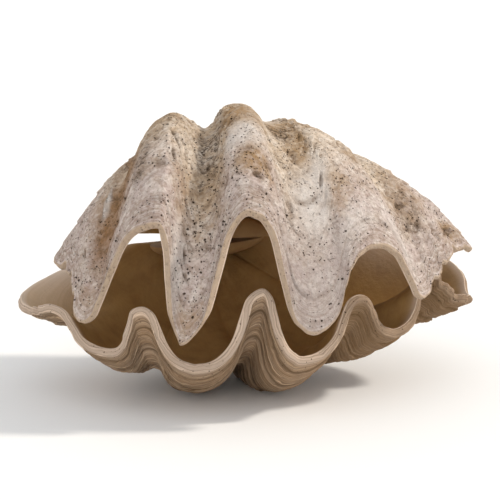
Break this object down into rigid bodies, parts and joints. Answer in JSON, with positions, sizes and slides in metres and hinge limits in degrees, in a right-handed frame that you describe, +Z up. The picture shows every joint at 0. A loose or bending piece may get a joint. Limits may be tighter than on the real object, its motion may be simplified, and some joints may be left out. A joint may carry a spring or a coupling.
{
  "type": "giant clam shell",
  "caption": "Pair of thick fluted shell halves of a giant clam, the upper one lying loose on the lower and gaping at the front, with tall rounded folds, growth ledges and a smooth hollow inside",
  "frame": {"origin": "on the ground, under the middle of the pair's bounding box", "axes": "+Z up as the pair lies, mouth of the shell towards -Y, hinge towards +Y, long way of the shell along X"},
  "size_m": [0.6202, 0.3834, 0.3764],
  "materials": {
    "brown_shell": "dull tan and brown aragonite with fine growth lines, smoother and warmer inside",
    "chalky_shell": "chalky off-white aragonite, weathered, pitted by boring sponges and stained brown"
  },
  "bodies": {
    "root": {"lower_valve": "brown_shell", "upper_valve": "chalky_shell"}
  },
  "joints": []
}
